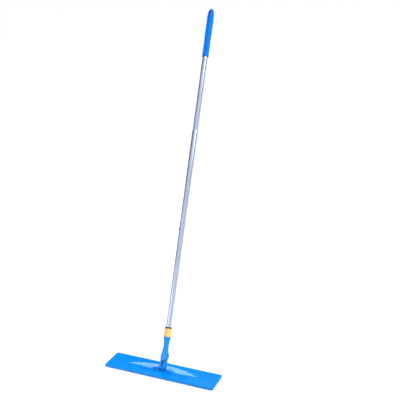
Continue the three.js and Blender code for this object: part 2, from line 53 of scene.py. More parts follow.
JOINTS = {joint["name"]: joint for joint in frame["joints"]}
TILT_PIN = Vector(JOINTS["head_tilt"]["pos_m"])
SWING_PIN = Vector(JOINTS["side_swing"]["pos_m"])


def local_frame(origin, up, back):
    """The matrix of a frame with Z along up and Y along back."""
    z = Vector(up).normalized()
    y = Vector(back).normalized()
    place = Matrix((y.cross(z), y, z)).transposed().to_4x4()
    place.translation = origin
    return place


HEAD = Matrix.Identity(4)
SWIVEL = local_frame(TILT_PIN, SWING_PIN - TILT_PIN, JOINTS["side_swing"]["axis"])
POLE = local_frame(SWING_PIN, JOINTS["collar_turn"]["axis"], JOINTS["side_swing"]["axis"])
ALONG_X = Matrix.Rotation(math.pi / 2, 4, "Y")
ALONG_Y = Matrix.Rotation(-math.pi / 2, 4, "X")


class Size:
    """A CAD node's corners in a local frame, and its radii about that frame's Z."""

    def __init__(self, node, place=HEAD):
        inverse = place.inverted()
        self.points = [inverse @ vertex.co for vertex in frame["nodes"][node].data.vertices]
        self.low = Vector([min(point[axis] for point in self.points) for axis in range(3)])
        self.high = Vector([max(point[axis] for point in self.points) for axis in range(3)])
        self.middle = (self.low + self.high) / 2
        self.length, self.width, self.height = self.high - self.low
        self.outer = max(point.xy.length for point in self.points)
        self.bore = min(point.xy.length for point in self.points)


# ------------------------------------------------------------------ outlines and profiles


def arc(centre, radius, start, end, steps):
    """Points on an arc, its angles in degrees."""
    angles = [math.radians(start + (end - start) * i / steps) for i in range(steps + 1)]
    return [Vector((centre[0] + radius * math.cos(a), centre[1] + radius * math.sin(a))) for a in angles]


def rounded_rectangle(length, width, corner, steps=10):
    x, y = length / 2 - corner, width / 2 - corner
    quarters = [((x, y), 0), ((-x, y), 90), ((-x, -y), 180), ((x, -y), 270)]
    return [point for centre, start in quarters for point in arc(centre, corner, start, start + 90, steps)]


def stadium(length, width):
    return rounded_rectangle(length, width, ROUND_END * width, 16)


def filleted(corners, radius, steps=4, closed=True):
    """The polyline with its corners rounded off."""
    points = []
    corners = [Vector(corner) for corner in corners]
    for i, corner in enumerate(corners):
        if not closed and i in (0, len(corners) - 1):
            points.append(corner)
            continue
        before = corners[i - 1] - corner
        after = corners[(i + 1) % len(corners)] - corner
        start = corner + before.normalized() * min(radius, 0.45 * before.length)
        end = corner + after.normalized() * min(radius, 0.45 * after.length)
        for k in range(steps + 1):
            t = k / steps
            points.append(start * (1 - t) ** 2 + corner * 2 * t * (1 - t) + end * t**2)
    return points


def inset(outline, distance, height):
    """The outline moved in by a distance, as points at one height."""
    moved = []
    for i, point in enumerate(outline):
        along = outline[(i + 1) % len(outline)] - outline[i - 1]
        normal = Vector((along.y, -along.x)).normalized()
        moved.append((point - normal * distance).to_3d() + Vector((0, 0, height)))
    return moved


def pillow(outline, low, high, edge, steps=5):
    """Rings of a flat piece with rounded rims."""
    rings = []
    for end, sign in ((low, 1), (high, -1)):
        quarter = []
        for i in range(steps + 1):
            angle = math.pi / 2 * i / steps
            height = end + sign * edge * (1 - math.cos(angle))
            quarter.append(inset(outline, edge * (1 - math.sin(angle)), height))
        rings += quarter[::sign]
    return rings


def smooth_through(stations):
    """A smooth curve through (height, value) stations, as a function of height."""

    def slope_at(i):
        a, b = stations[max(i - 1, 0)], stations[min(i + 1, len(stations) - 1)]
        return (b[1] - a[1]) / (b[0] - a[0])

    def value(height):
        last = len(stations) - 2
        i = max(0, min(last, sum(1 for station in stations[1:-1] if station[0] <= height)))
        (x0, y0), (x1, y1) = stations[i], stations[i + 1]
        slope0 = slope_at(i)
        slope1 = slope_at(i + 1)
        t = max(0.0, min(1.0, (height - x0) / (x1 - x0)))
        step = x1 - x0
        return (
            (2 * t**3 - 3 * t**2 + 1) * y0
            + (t**3 - 2 * t**2 + t) * step * slope0
            + (3 * t**2 - 2 * t**3) * y1
            + (t**3 - t**2) * step * slope1
        )

    return value


def smoothstep(value, start, end):
    """0 before the start, 1 past the end, and an S-curve between."""
    t = max(0.0, min(1.0, (value - start) / (end - start)))
    return t * t * (3 - 2 * t)


def signed_power(value, power):
    return math.copysign(abs(value) ** power, value)


# ------------------------------------------------------------------ meshes

SAME_POINT = 0.01 * MM
CREASE_ANGLE = 32  # degrees; a sharper edge shades crisp or is rounded off


def mesh_piece(name, points, faces, place):
    mesh = bpy.data.meshes.new(name)
    mesh.from_pydata([tuple(point) for point in points], [], faces)
    mesh.validate()
    piece = bpy.data.objects.new(name, mesh)
    bpy.context.scene.collection.objects.link(piece)
    piece.matrix_world = place
    return piece


def skin(name, rings, place, closed_round=False):
    """A skin over rings with equal point counts; its ends are capped, or joined to each other."""
    count = len(rings[0])
    levels = len(rings)
    faces = []
    for level in range(levels if closed_round else levels - 1):
        above = (level + 1) % levels
        for i in range(count):
            j = (i + 1) % count
            faces.append((level * count + i, level * count + j, above * count + j, above * count + i))
    if not closed_round:
        faces.append(tuple(reversed(range(count))))
        faces.append(tuple(range((levels - 1) * count, levels * count)))
    return mesh_piece(name, [point for ring in rings for point in ring], faces, place)


def turned(name, profile, place, sides=96, hollow=True):
    """(radius, height) pairs turned about Z.

    A hollow profile closes on itself. A solid one starts and ends on the axis, where flat caps close it.
    """
    angles = [2 * math.pi * i / sides for i in range(sides)]
    rings = []
    for radius, height in profile if hollow else profile[1:-1]:
        rings.append([Vector((radius * math.cos(a), radius * math.sin(a), height)) for a in angles])
    return skin(name, rings, place, closed_round=hollow)


def pushed(name, outline, low, high, place):
    """A plain prism along Z."""
    return skin(name, [inset(outline, 0, height) for height in (low, high)], place)


def rod(radius, low, high, place, sides=64):
    return turned("tool", [(0, low), (radius, low), (radius, high), (0, high)], place, sides, hollow=False)


def apply_modifiers(piece):
    graph = bpy.context.evaluated_depsgraph_get()
    mesh = bpy.data.meshes.new_from_object(
        piece.evaluated_get(graph), preserve_all_data_layers=True, depsgraph=graph
    )
    piece.modifiers.clear()
    piece.data = mesh


def carved(piece, tools, operation="DIFFERENCE"):
    """Cuts the tools out of a piece, or joins them to it, and deletes them."""
    for tool in tools:
        modifier = piece.modifiers.new("carve", "BOOLEAN")
        modifier.object = tool
        modifier.operation = operation
        modifier.solver = "EXACT"
    bpy.context.view_layer.update()
    apply_modifiers(piece)
    for tool in tools:
        bpy.data.objects.remove(tool)


def keep_flat(piece, height):
    """Makes the creases round the flat face at a height crisp, so that the face shades flat."""
    smallest_crease = math.radians(2)
    body = bmesh.new()
    body.from_mesh(piece.data)
    for edge in body.edges:
        level = all(abs(vertex.co.z - height) < SAME_POINT for vertex in edge.verts)
        if level and len(edge.link_faces) == 2 and edge.calc_face_angle() > smallest_crease:
            edge.smooth = False
    body.to_mesh(piece.data)
    body.free()


def softened(piece, width, segments=3, where=None, flat_at=None):
    """Rounds every sharp edge, or those whose ends pass a test. A face at flat_at stays flat."""
    shade(piece)
    if flat_at:
        keep_flat(piece, flat_at)
    if where:
        mesh = piece.data
        weights = mesh.attributes.new("bevel_weight_edge", "FLOAT", "EDGE")
        for edge in mesh.edges:
            chosen = edge.use_edge_sharp and all(where(mesh.vertices[i].co) for i in edge.vertices)
            weights.data[edge.index].value = float(chosen)
    weld = piece.modifiers.new("weld", "WELD")
    weld.merge_threshold = SAME_POINT
    bevel = piece.modifiers.new("soft edges", "BEVEL")
    bevel.width = width
    bevel.segments = segments
    bevel.limit_method = "WEIGHT" if where else "ANGLE"
    bevel.angle_limit = math.radians(CREASE_ANGLE)
    bevel.use_clamp_overlap = False
    bevel.harden_normals = True
    apply_modifiers(piece)


def shade(piece):
    piece.data.shade_smooth()
    piece.data.set_sharp_from_angle(angle=math.radians(CREASE_ANGLE))


def dress(piece, slot, finish=None):
    """Gives a piece the finish named by its slot, unless another finish is given."""
    piece.data.materials.clear()
    piece.data.materials.append(FINISHES[finish or slot])


def fit(piece, body, slot, *nodes, finish=None):
    """Gives a piece its finish and its body, and hides the CAD nodes it stands for."""
    dress(piece, slot, finish)
    if nodes:
        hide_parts(*nodes)
    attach(piece, body)


# ------------------------------------------------------------------ finishes


class Finish:
    """A material with one Principled shader, and shorthand for the nodes that feed it."""

    def __init__(self, name, **values):
        self.material = bpy.data.materials.new(name)
        self.material.use_nodes = True
        self.tree = self.material.node_tree
        self.shader = self.tree.nodes["Principled BSDF"]
        for socket, value in values.items():
            self.shader.inputs[socket.replace("_", " ")].default_value = value
        self.place = self.tree.nodes.new("ShaderNodeTexCoord").outputs["Object"]

    def node(self, kind, **inputs):
        made = self.tree.nodes.new("ShaderNode" + kind)
        for socket, value in inputs.items():
            self.feed(made.inputs[socket.replace("_", " ")], value)
        return made

    def feed(self, socket, value):
        if isinstance(value, bpy.types.NodeSocket):
            self.tree.links.new(value, socket)
        else:
            socket.default_value = value

    def noise(self, size, detail=3, stretch=(1, 1, 1)):
        """Noise with features of a size in metres, drawn out along an axis by a stretch below 1."""
        place = self.node("Mapping", Vector=self.place, Scale=stretch).outputs["Vector"]
        return self.node("TexNoise", Vector=place, Scale=1 / size, Detail=detail).outputs["Fac"]

    def between(self, factor, low, high, start=0.35, end=0.65):
        """A value that runs from low to high as the factor runs from start to end."""
        ranged = self.node("MapRange", Value=factor, From_Min=start, From_Max=end, To_Min=low, To_Max=high)
        return ranged.outputs["Result"]

    def blend(self, factor, first, second):
        """A colour between two others."""
        mix = self.tree.nodes.new("ShaderNodeMix")
        mix.data_type = "RGBA"
        self.feed(mix.inputs["Factor"], factor)
        self.feed(mix.inputs["A"], first)
        self.feed(mix.inputs["B"], second)
        return mix.outputs["Result"]

    def edges(self):
        """1 along worn outer edges, broken up by noise."""
        geometry = self.tree.nodes.new("ShaderNodeNewGeometry")
        sharp = self.between(geometry.outputs["Pointiness"], 0, 1, 0.58, 0.7)
        broken = self.between(self.noise(3 * MM), 0, 1, 0.4, 0.7)
        return self.node_math("MULTIPLY", sharp, broken)

    def painted_shade_mask(self):
        """0 in deep corners and 1 on open faces, from ambient occlusion: the mask for painted shade."""
        return self.between(self.node("AmbientOcclusion", Distance=7 * MM).outputs["AO"], 0, 1, 0.3, 0.85)

    def node_math(self, operation, first, second):
        made = self.tree.nodes.new("ShaderNodeMath")
        made.operation = operation
        self.feed(made.inputs[0], first)
        self.feed(made.inputs[1], second)
        return made.outputs["Value"]

    def bump(self, *layers):
        """(height map, depth in metres) layers laid over each other."""
        normal = None
        for height, depth in layers:
            bump = self.node("Bump", Height=height, Strength=1.0, Distance=depth)
            if normal:
                self.feed(bump.inputs["Normal"], normal)
            normal = bump.outputs["Normal"]
        self.feed(self.shader.inputs["Normal"], normal)

    def set(self, **inputs):
        for socket, value in inputs.items():
            self.feed(self.shader.inputs[socket.replace("_", " ")], value)
        return self.material


def shaded(colour, factor):
    """The colour, darker or lighter by a factor, as RGBA."""
    return (*[min(1.0, channel * factor) for channel in colour], 1.0)


def moulded_plastic(name, colour, roughness, grain, depth, gloss=0.5, corner_shade=0.45):
    """Injection-moulded plastic: flow marks, mould grain, pale scuffs, and painted shade in deep corners.

    The grain has a size and a depth. Gloss is the shader's specular level, 0.5 for ordinary plastic.
    Corner shade is how much of the colour is left in a deep corner, where shade is painted.
    """
    scuff_strength = 0.35
    finish = Finish(name, Specular_IOR_Level=gloss)
    flow = finish.noise(40 * MM, 4, (1, 1, 0.5))
    grit = finish.noise(grain, 2)
    scuff = finish.noise(6 * MM, 6, (1, 0.35, 1))
    body = finish.blend(finish.between(flow, 0, 1), shaded(colour, 0.94), shaded(colour, 1.05))
    worn = finish.node_math("MULTIPLY", finish.edges(), scuff_strength)
    pale = shaded([0.15 + 0.75 * channel for channel in colour], 1)
    # Painted shade: the colour is darkened in deep corners by ambient occlusion.
    with_corner_shade = finish.blend(finish.painted_shade_mask(), shaded(colour, corner_shade), body)
    finish.bump((flow, 0.02 * MM), (grit, depth), (scuff, 0.5 * depth))
    return finish.set(
        Base_Color=finish.blend(worn, with_corner_shade, pale),
        Roughness=finish.between(scuff, roughness - 0.03, roughness + 0.06),
    )


def drawn_aluminium(name, colour, roughness):
    """Anodised tube with fine lines along its length, rubbed spots and faint scratches round it."""
    finish = Finish(name, Metallic=1.0)
    lines = finish.noise(0.35 * MM, 2, (1, 1, 0.02))
    rubbed = finish.noise(25 * MM, 5, (1, 1, 0.3))
    scratches = finish.noise(0.6 * MM, 2, (0.15, 0.15, 1))
    tone = finish.blend(finish.between(rubbed, 0, 1), shaded(colour, 0.93), shaded(colour, 1.03))
    streaked = finish.blend(finish.between(lines, 0, 0.35), tone, shaded(colour, 0.82))
    finish.bump((lines, 0.0004 * MM), (scratches, 0.0002 * MM))
    return finish.set(
        Base_Color=finish.blend(finish.edges(), streaked, shaded(colour, 1.15)),
        Roughness=finish.between(rubbed, roughness - 0.03, roughness + 0.04),
    )


def plated_steel(name, colour, roughness):
    """Zinc-plated steel: crystalline blotches and small pits."""
    finish = Finish(name, Metallic=1.0)
    blotch = finish.noise(2.5 * MM, 4)
    pits = finish.noise(0.3 * MM, 2)
    finish.bump((blotch, 0.01 * MM), (pits, 0.006 * MM))
    return finish.set(
        Base_Color=finish.blend(finish.between(blotch, 0, 1), shaded(colour, 0.8), shaded(colour, 1.1)),
        Roughness=finish.between(pits, roughness - 0.06, roughness + 0.12),
    )


def soft_rubber(name, colour, roughness):
    """Black rubber with a dusty bloom."""
    finish = Finish(name)
    bloom = finish.noise(5 * MM, 5)
    grit = finish.noise(0.4 * MM, 2)
    finish.bump((grit, 0.02 * MM))
    return finish.set(
        Base_Color=finish.blend(finish.between(bloom, 0, 1), shaded(colour, 0.8), shaded(colour, 1.5)),
        Roughness=finish.between(grit, roughness - 0.08, roughness + 0.1),
    )


def woven_tape(name, colour, roughness):
    """Nylon tape: a fine weave along and across."""
    finish = Finish(name)
    warp = finish.noise(0.5 * MM, 1, (0.1, 1, 1))
    weft = finish.noise(0.5 * MM, 1, (1, 0.1, 1))
    weave = finish.node_math("MULTIPLY", warp, weft)
    lint = finish.noise(8 * MM, 5)
    finish.bump((weave, 0.1 * MM))
    return finish.set(
        Base_Color=finish.blend(finish.between(lint, 0, 1), shaded(colour, 0.8), shaded(colour, 1.6)),
        Roughness=finish.between(weave, roughness - 0.1, roughness, 0.1, 0.4),
    )


FINISHES = {
    "head_blue": moulded_plastic("head_blue", (0.0, 0.225, 0.72), 0.15, 0.5 * MM, 0.003 * MM, 0.2, 0.85),
    "neck_blue": moulded_plastic("neck_blue", (0.0, 0.26, 0.78), 0.28, 0.4 * MM, 0.006 * MM, 0.3),
    "grip_blue": moulded_plastic("grip_blue", (0.0, 0.18, 0.72), 0.48, 0.6 * MM, 0.03 * MM, 0.1),
    "collar_yellow": moulded_plastic("collar_yellow", (0.88, 0.57, 0.17), 0.35, 0.4 * MM, 0.008 * MM),
    "ring_black": soft_rubber("ring_black", (0.035, 0.033, 0.03), 0.6),
    "tube_aluminium": drawn_aluminium("tube_aluminium", (0.64, 0.68, 0.84), 0.26),
    "steel": plated_steel("steel", (0.07, 0.09, 0.15), 0.4),
    "hook_tape": woven_tape("hook_tape", (0.02, 0.022, 0.027), 0.8),
    "nylon_white": moulded_plastic("nylon_white", (0.72, 0.71, 0.67), 0.45, 0.4 * MM, 0.01 * MM),
}

# ------------------------------------------------------------------ head

PLATE = Size("head_plate")
BRACKET = Size("swivel_bracket")
STRIPS = {which: Size(f"hook_strip_{which}") for which in ("front", "middle", "rear")}
SCREWS = {side: Size(f"bracket_screw_{side}") for side in ("left", "right")}

SCREW_HOLE = 1.8 * MM  # radius


def dish_tool():
    """A lens between two arcs, a shallow V across with a soft crease."""
    half_length = 0.32 * PLATE.length
    half_width = 0.315 * PLATE.width
    depth = 0.645 * PLATE.height
    tip = 0.02 * MM
    stations = 72
    crease_share = 0.12
    past = 1.25  # the tool's half width over the dish's, so that it stands out above the plate
    radius = (half_length**2 + half_width**2) / (2 * half_width)
    slope = depth / half_width
    rings = []
    for i in range(stations + 1):
        x = -half_length * math.cos(math.pi * i / stations)
        y = max(math.sqrt(radius**2 - x**2) - radius + half_width, tip)
        top = PLATE.high.z + (past - 1) * y * slope
        crease = crease_share * y
        ring = [Vector((x, -past * y, top))]
        for share in (-1, -0.5, 0, 0.5, 1):
            rise = crease * (1 + share**2) / 2
            ring.append(Vector((x, share * crease, PLATE.high.z - (y - rise) * slope)))
        ring.append(Vector((x, past * y, top)))
        rings.append(ring)
    return skin("tool", rings, HEAD)


def shifted(x, y):
    return Matrix.Translation((x, y, 0))


def strip_seats():
    """What is cut from the plate to seat the hook strips."""
    tools = []
    for strip in STRIPS.values():
        outline = rounded_rectangle(strip.length + 2 * MM, strip.width + 2 * GAP, 2 * MM)
        seat_top = strip.high.z + GAP
        tools.append(pushed("tool", outline, -seat_top, seat_top, shifted(0, strip.middle.y)))
    return tools


def pockets():
    """What is cut from the plate's underside in two rows between the strips, to leave ribs."""
    count = 12
    pitch = 0.96 * PLATE.length / count
    rib = 2.4 * MM
    outline = rounded_rectangle(pitch - rib, 0.11 * PLATE.width, 1.5 * MM, 5)
    top = PLATE.low.z + 0.35 * PLATE.height
    row = STRIPS["rear"].middle.y * 0.507
    tools = []
    for side in (-1, 1):
        for i in range(count):
            place = shifted((i - (count - 1) / 2) * pitch, side * row)
            tools.append(pushed("tool", outline, 0, top, place))
    return tools


def head_plate():
    """The plate with its dish and the bracket's seat on top, and seats for the strips and pockets below."""
    corner = 0.076 * PLATE.width
    edge = 0.19 * PLATE.height
    outline = rounded_rectangle(PLATE.length, PLATE.width, corner, 12)
    plate = skin("plate_moulding", pillow(outline, PLATE.low.z, PLATE.high.z, edge), HEAD)
    carved(plate, [dish_tool()])
    bracket_seat = stadium(BRACKET.length + 10 * MM, BRACKET.width + 6 * MM)
    seat = pushed("tool", bracket_seat, PLATE.low.z + edge, BRACKET.low.z - GAP, HEAD)
    carved(plate, [seat], "UNION")

    tools = strip_seats() + pockets()
    for screw in SCREWS.values():
        tools.append(rod(SCREW_HOLE, 0, PLATE.high.z * 2, shifted(screw.middle.x, 0)))
    carved(plate, tools)
    softened(plate, 0.25 * MM, flat_at=PLATE.high.z)
    fit(plate, "head", "head_blue", "head_plate")


def hook_strip(which, size):
    """Tape with rows of small bent hooks that reach almost to the floor."""
    rng = random.Random(which)
    tape_bottom = size.low.z + 0.5 * size.height
    outline = rounded_rectangle(size.length, size.width, 2 * MM)
    tape = skin(
        f"tape_{which}", pillow(outline, tape_bottom, size.high.z, 0.15 * MM, 3), shifted(0, size.middle.y)
    )
    shade(tape)
    fit(tape, "head", "hook_tape", f"hook_strip_{which}")

    pitch = 2.4 * MM
    stem = 0.16 * MM  # half the thickness of a hook
    jitter = 0.15 * MM
    bend = [(0, 1), (0.1, 0.35), (0.45, 0.06), (0.8, 0.4)]  # (mm aside, share of the tape's height)
    rows = int(size.width / pitch)
    columns = int(size.length / pitch)
    points = []
    faces = []
    for row in range(rows):
        for column in range(columns):
            x = (column - (columns - 1) / 2) * pitch + rng.uniform(-jitter, jitter)
            y = (row - (rows - 1) / 2) * pitch + rng.uniform(-jitter, jitter)
            lean = rng.choice((-1, 1))
            first = len(points)
            for along, share in bend:
                shift = along * lean * MM
                for dx, dy in ((-1, -1), (1, -1), (1, 1), (-1, 1)):
                    points.append(Vector((x + shift + dx * stem, y + dy * stem, share * tape_bottom)))
            for level in range(len(bend) - 1):
                for k in range(4):
                    a, b = first + 4 * level + k, first + 4 * level + (k + 1) % 4
                    faces.append((a, b, b + 4, a + 4))
            tip = first + 4 * (len(bend) - 1)
            faces.append((tip, tip + 1, tip + 2, tip + 3))
    hooks = mesh_piece(f"hooks_{which}", points, faces, shifted(0, size.middle.y))
    shade(hooks)
    fit(hooks, "head", "hook_tape")


def swivel_bracket():
    """A foot with a round-topped lug, which the tilt pin goes through."""
    foot_thickness = 2.5 * MM
    edge = 0.6 * MM
    foot_top = BRACKET.low.z + foot_thickness
    outline = stadium(BRACKET.length, BRACKET.width)
    bracket = skin("bracket_moulding", pillow(outline, BRACKET.low.z, foot_top, edge), HEAD)
    radius = BRACKET.high.z - TILT_PIN.z
    half_width = KNUCKLE_INNER - GAP
    half_base = 1.08 * radius
    base = BRACKET.low.z + edge
    lug = [
        Vector((half_base, base)),
        *arc((0, TILT_PIN.z), radius, 0, 180, 40),
        Vector((-half_base, base)),
    ]
    carved(bracket, [facing_x(lug, -half_width, half_width, HEAD)], "UNION")
    pin = Size("tilt_pin")
    reach = 100 * MM
    tools = [rod(pin.height / 2 + GAP, -reach, reach, Matrix.Translation(TILT_PIN) @ ALONG_X)]
    for screw in SCREWS.values():
        tools.append(rod(SCREW_HOLE, 0, 2 * foot_top, shifted(screw.middle.x, 0)))
    carved(bracket, tools)
    softened(bracket, 0.35 * MM)
    fit(bracket, "head", "head_blue", "swivel_bracket")


def bracket_screw(side, size):
    """A pan-head screw with a cross recess, painted like the head."""
    head = size.length / 2
    shank = 0.5 * head
    tip = 0.2 * head
    head_height = 1.8 * MM
    low, high = size.low.z, size.high.z
    under_head = high - head_height
    corners = [
        (0, low), (tip, low), (shank, low + 1 * MM), (shank, under_head), (head, under_head),
        (head, high - 0.5 * head_height), (0.7 * head, high - 0.08 * head_height), (0, high),
    ]
    profile = filleted(corners, 0.6 * MM, 5, closed=False)
    screw = turned(f"screw_{side}", profile, shifted(size.middle.x, 0), 48, hollow=False)
    slot = rounded_rectangle(1.25 * head, 0.26 * head, 0.1 * head, 4)
    slot_bottom = high - 0.55 * head_height
    tools = []
    for turn in (20, 110):
        place = shifted(size.middle.x, 0) @ Matrix.Rotation(math.radians(turn), 4, "Z")
        tools.append(pushed("tool", slot, slot_bottom, high + head_height, place))
    carved(screw, tools)
    softened(screw, 0.08 * MM, 2)
    fit(screw, "head", "steel", f"bracket_screw_{side}", finish="head_blue")


def tilt_pin():
    size = Size("tilt_pin")
    radius = size.height / 2
    half = size.length / 2
    profile = filleted([(0, -half), (radius, -half), (radius, half), (0, half)], 0.5 * MM, 5, closed=False)
    pin = turned("tilt_pin_rod", profile, Matrix.Translation(TILT_PIN) @ ALONG_X, 48, hollow=False)
    shade(pin)
    fit(pin, "head", "steel", "tilt_pin")


# ------------------------------------------------------------------ swivel

YOKE = Size("yoke", SWIVEL)
NECK = Size("neck", POLE)
COLLAR = Size("locking_collar", POLE)
PIN_DISTANCE = (SWING_PIN - TILT_PIN).length
KNUCKLE_RADIUS = -YOKE.low.z
KNUCKLE_INNER = 4.3 * MM  # half the width of the slot for the bracket's lug
YOKE_THICKNESS = YOKE.width / 2
PIN_HEAD_HEIGHT = 1.4 * MM
SWING_HOLE = 3.3 * MM  # radius


def facing_y(outline, low, high, place):
    """A prism along the local Y, its outline given in X and Z."""
    turn = Matrix(((1, 0, 0, 0), (0, 0, -1, 0), (0, 1, 0, 0), (0, 0, 0, 1)))
    return pushed("tool", outline, -high, -low, place @ turn)


def facing_x(outline, low, high, place):
    """A prism along the local X, its outline given in Y and Z."""
    turn = Matrix(((0, 0, 1, 0), (1, 0, 0, 0), (0, 1, 0, 0), (0, 0, 0, 1)))
    return pushed("tool", outline, low, high, place @ turn)


def yoke():
    """A round-topped tongue for the neck's fork, on two knuckles with ribs, and a web between them."""
    half_width = YOKE.high.z - PIN_DISTANCE
    half = YOKE_THICKNESS / 2
    front = [
        Vector((half_width, 0)),
        *arc((0, PIN_DISTANCE), half_width, 0, 180, 56),
        Vector((-half_width, 0)),
    ]
    body = facing_y(front, -half, half, SWIVEL)
    body.name = "yoke_moulding"
    reach = YOKE.width / 2
    rib_width = 3.8 * MM
    rib_foot = 0.7 * reach
    rib_low, rib_waist, rib_top = [share * PIN_DISTANCE for share in (0.08, 0.3, 0.6)]
    corners = [
        (-rib_foot, rib_low), (rib_foot, rib_low), (reach, rib_waist),
        (reach, rib_top), (-reach, rib_top), (-reach, rib_waist),
    ]
    rib = filleted(corners, 2.5 * MM, 6)
    for side in (-1, 1):
        inner = side * KNUCKLE_INNER
        outer = side * YOKE.high.x
        rib_outer = inner + side * rib_width
        carved(body, [
            rod(KNUCKLE_RADIUS, min(inner, outer), max(inner, outer), SWIVEL @ ALONG_X),
            facing_x(rib, min(inner, rib_outer), max(inner, rib_outer), SWIVEL),
        ], "UNION")
    slot_top = 0.58 * PIN_DISTANCE - KNUCKLE_INNER
    slot = [
        Vector((KNUCKLE_INNER, -2 * KNUCKLE_RADIUS)),
        *arc((0, slot_top), KNUCKLE_INNER, 0, 180, 24),
        Vector((-KNUCKLE_INNER, -2 * KNUCKLE_RADIUS)),
    ]
    tilt_hole = Size("tilt_pin").height / 2 + GAP
    swing = SWIVEL @ Matrix.Translation((0, 0, PIN_DISTANCE)) @ ALONG_Y
    carved(body, [
        facing_y(slot, -2 * reach, 2 * reach, SWIVEL),
        rod(tilt_hole, -2 * half_width, 2 * half_width, SWIVEL @ ALONG_X),
        rod(SWING_HOLE, -2 * reach, 2 * reach, swing),
    ])
    web_thickness = 2.6 * MM
    web_bottom = 0.42 * (slot_top + KNUCKLE_INNER)
    web_top = slot_top + 2 * KNUCKLE_INNER
    outline = rounded_rectangle(2 * KNUCKLE_INNER + rib_width, web_thickness, 0.1 * MM, 2)
    carved(body, [pushed("tool", outline, web_bottom, web_top, SWIVEL)], "UNION")
    softened(body, 0.45 * MM)
    fit(body, "yoke", "neck_blue", "yoke")


def neck_width():
    """Half width across the neck as a function of height, measured on the frame."""
    steps = 13
    step = (COLLAR.low.z - GAP) / steps
    stations = []
    for i in range(steps + 1):
        height = i * step
        near = [abs(point.x) for point in NECK.points if abs(point.z - height) < 0.1 * step]
        stations.append((height, max(near)))
    return smooth_through(stations)


def neck():
    """A fork with a boss below and a spigot above; boxy at the fork, round from the waist up."""
    top = COLLAR.low.z - GAP
    fork = -NECK.low.z
    boss_depth = max(point.y for point in NECK.points if point.z < 0.5 * fork)
    half_depth = boss_depth - 1 * MM
    narrowest = 2 * MM
    boxy, circle = 5, 2  # powers of the superellipse across the neck
    width_at = neck_width()
    around = 96
    fork_rings = 20
    upper_rings = 60
    heights = [-fork * math.cos(math.pi / 2 * i / fork_rings) for i in range(fork_rings)]
    heights += [top * i / upper_rings for i in range(upper_rings + 1)]
    rings = []
    for height in heights:
        if height < 0:
            across = max(math.sqrt(max(fork**2 - height**2, 0)), narrowest)
        else:
            across = width_at(height)
        to_round = smoothstep(height, 0.09 * top, 0.48 * top)
        deep = half_depth + (across - half_depth) * smoothstep(height, 0.21 * top, 0.54 * top)
        power = 2 / (boxy + (circle - boxy) * to_round)
        ring = []
        for i in range(around):
            angle = 2 * math.pi * i / around
            x = across * signed_power(math.cos(angle), power)
            y = deep * signed_power(math.sin(angle), power)
            ring.append(Vector((x, y, height)))
        rings.append(ring)
    body = skin("neck_moulding", rings, POLE)
    spigot = 0.99 * Size("joint_insert", POLE).outer
    boss = 0.766 * fork
    carved(body, [
        rod(spigot, top - 3 * MM, NECK.high.z, POLE),
        rod(boss, -boss_depth, boss_depth, POLE @ ALONG_Y),
    ], "UNION")
    slot_half = YOKE_THICKNESS / 2 + GAP
    slot_end = 0.97 * fork
    mouth = rounded_rectangle(3 * fork, 2 * slot_half, 0.1 * MM, 2)
    pin = Size("swing_pin", POLE)
    past = 2 * NECK.high.y
    carved(body, [
        rod(slot_end, -slot_half, slot_half, POLE @ ALONG_Y),
        pushed("tool", mouth, -2 * fork, 0.8 * fork, POLE),
        rod(SWING_HOLE, pin.low.y - GAP, past, POLE @ ALONG_Y),
        rod(pin.length / 2 + GAP, pin.high.y - PIN_HEAD_HEIGHT - GAP, past, POLE @ ALONG_Y),
    ])
    softened(body, 0.3 * MM)
    fit(body, "lower_pole", "neck_blue", "neck")


def swing_pin():
    size = Size("swing_pin", POLE)
    head = size.length / 2
    shank = SWING_HOLE - GAP
    low, high = size.low.y, size.high.y
    under_head = high - PIN_HEAD_HEIGHT
    corners = [(0, low), (shank, low), (shank, under_head), (head, under_head), (head, high), (0, high)]
    profile = filleted(corners, 0.7 * MM, 5, closed=False)
    pin = turned("swing_pin_rivet", profile, POLE @ ALONG_Y, 48, hollow=False)
    shade(pin)
    fit(pin, "lower_pole", "steel", "swing_pin")


# ------------------------------------------------------------------ pole

BUTTON_HOLE = 3.6 * MM  # radius


def tube(name, node, body, edge, hole_at=None):
    """A length of pipe with deburred ends, and a hole at a piece that points out through it."""
    size = Size(node, POLE)
    low, high = size.low.z, size.high.z
    corners = [(size.bore, low), (size.outer, low), (size.outer, high), (size.bore, high)]
    if hole_at:
        beside = [hole_at.middle.z + shift * 6 * MM for shift in (-1, 1)]
        corners[2:2] = [(size.outer, height) for height in beside]
        corners += [(size.bore, height) for height in reversed(beside)]
    pipe = turned(name, filleted(corners, edge, 3), POLE, 128)
    if hole_at:
        carved(pipe, [rod(BUTTON_HOLE, 5 * MM, 20 * MM, radial(hole_at))])
        softened(pipe, 0.12 * MM, 2)
    shade(pipe)
    fit(pipe, body, "tube_aluminium", node)


def radial(size):
    """The frame of a piece that points out through the tube, its Z outwards from the pole's axis."""
    angle = math.atan2(size.middle.y, size.middle.x)
    lift = Matrix.Translation((0, 0, size.middle.z))
    return POLE @ lift @ Matrix.Rotation(angle, 4, "Z") @ ALONG_X


def joint_button():
    """A domed button on a flange that keeps it inside the tube."""
    size = Size("joint_button", POLE)
    top = size.outer
    shaft = 3.2 * MM
    flange = size.height / 2
    foot = 3.7 * MM
    step = foot + 1.2 * MM
    shoulder = top - 0.9 * MM
    corners = [
        (0, foot), (flange, foot), (flange, step), (shaft, step),
        (shaft, shoulder), (0.62 * shaft, top), (0, top),
    ]
    profile = filleted(corners, 0.8 * MM, 6, closed=False)
    button = turned("button_dome", profile, radial(size), 48, hollow=False)
    shade(button)
    fit(button, "button", "grip_blue", "joint_button")


